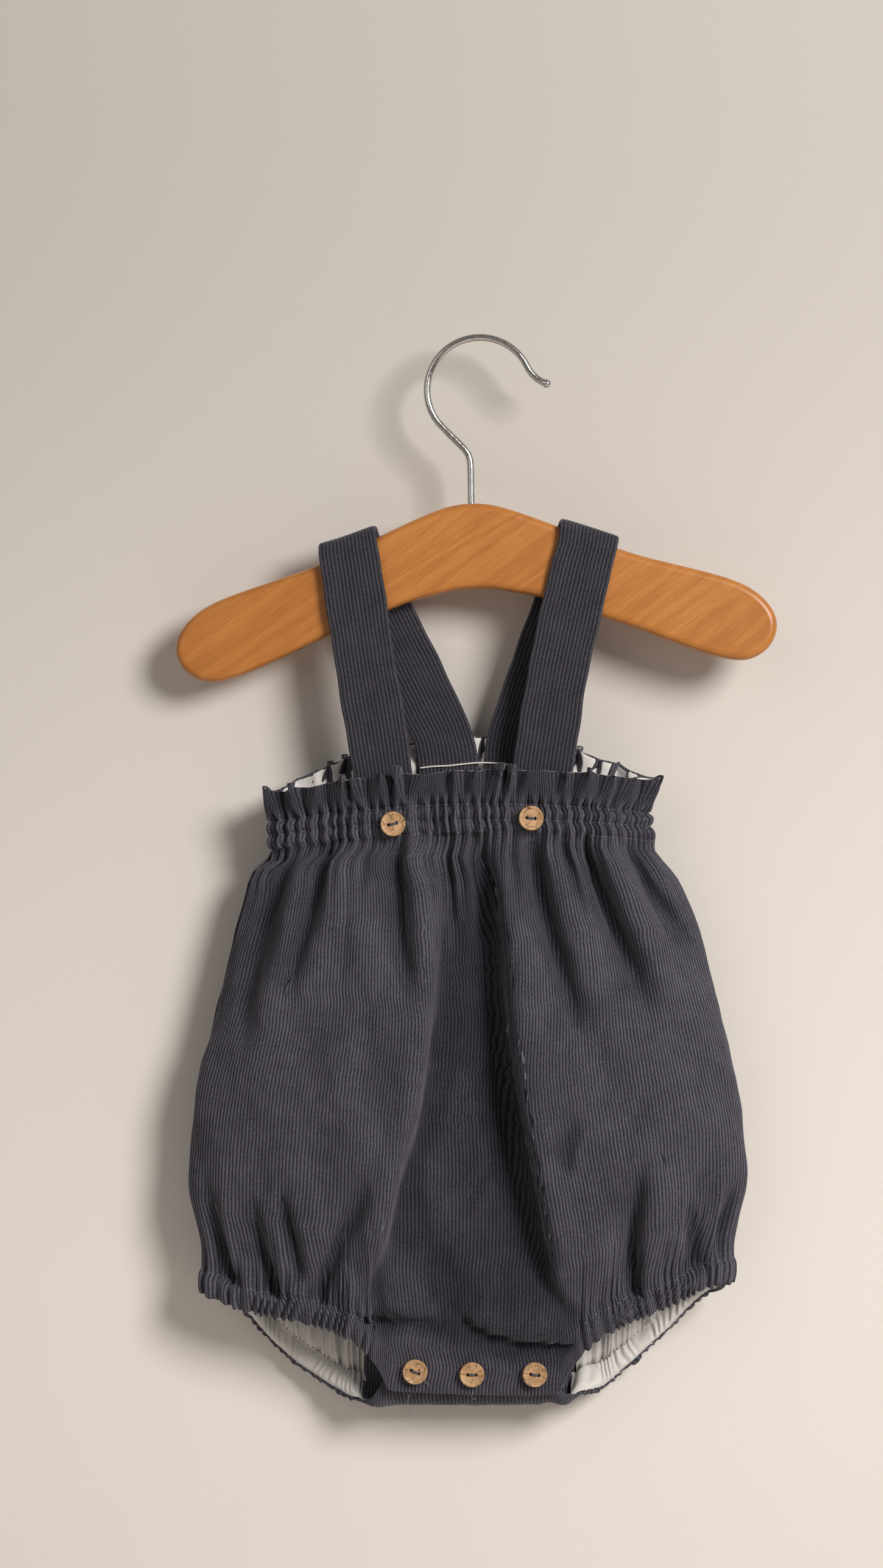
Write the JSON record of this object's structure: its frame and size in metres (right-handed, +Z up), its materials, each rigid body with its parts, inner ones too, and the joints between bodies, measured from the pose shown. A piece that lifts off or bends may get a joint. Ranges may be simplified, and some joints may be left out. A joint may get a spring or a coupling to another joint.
{
  "type": "suspender trousers",
  "caption": "Baby's corduroy bubble romper with a ruffled elastic waist, button-on shoulder straps and a buttoned crotch flap, hanging on a wooden hanger.",
  "frame": {"origin": "inside top of the hanger's hook, where it rests on a peg", "axes": "+X to the viewer's right across the garment, +Y from the front to the wall behind it, +Z up"},
  "size_m": [0.2898, 0.057, 0.5202],
  "materials": {
    "corduroy": "needle corduroy with fine upright ribs",
    "lining": "plain light cotton",
    "wood": "satin varnish over pale beech",
    "chrome": "polished wire",
    "shell": "satin coconut shell"
  },
  "bodies": {
    "root": {"front_panel": "corduroy", "back_panel": "corduroy", "strap_left": "corduroy", "strap_right": "corduroy", "front_waist_facing": "lining", "back_waist_facing": "lining", "leg_lining_left": "lining", "leg_lining_right": "lining", "hanger_board": "wood", "hanger_hook": "chrome", "button_waist_left": "shell", "button_waist_right": "shell", "button_crotch_left": "shell", "button_crotch_middle": "shell", "button_crotch_right": "shell"}
  },
  "joints": []
}
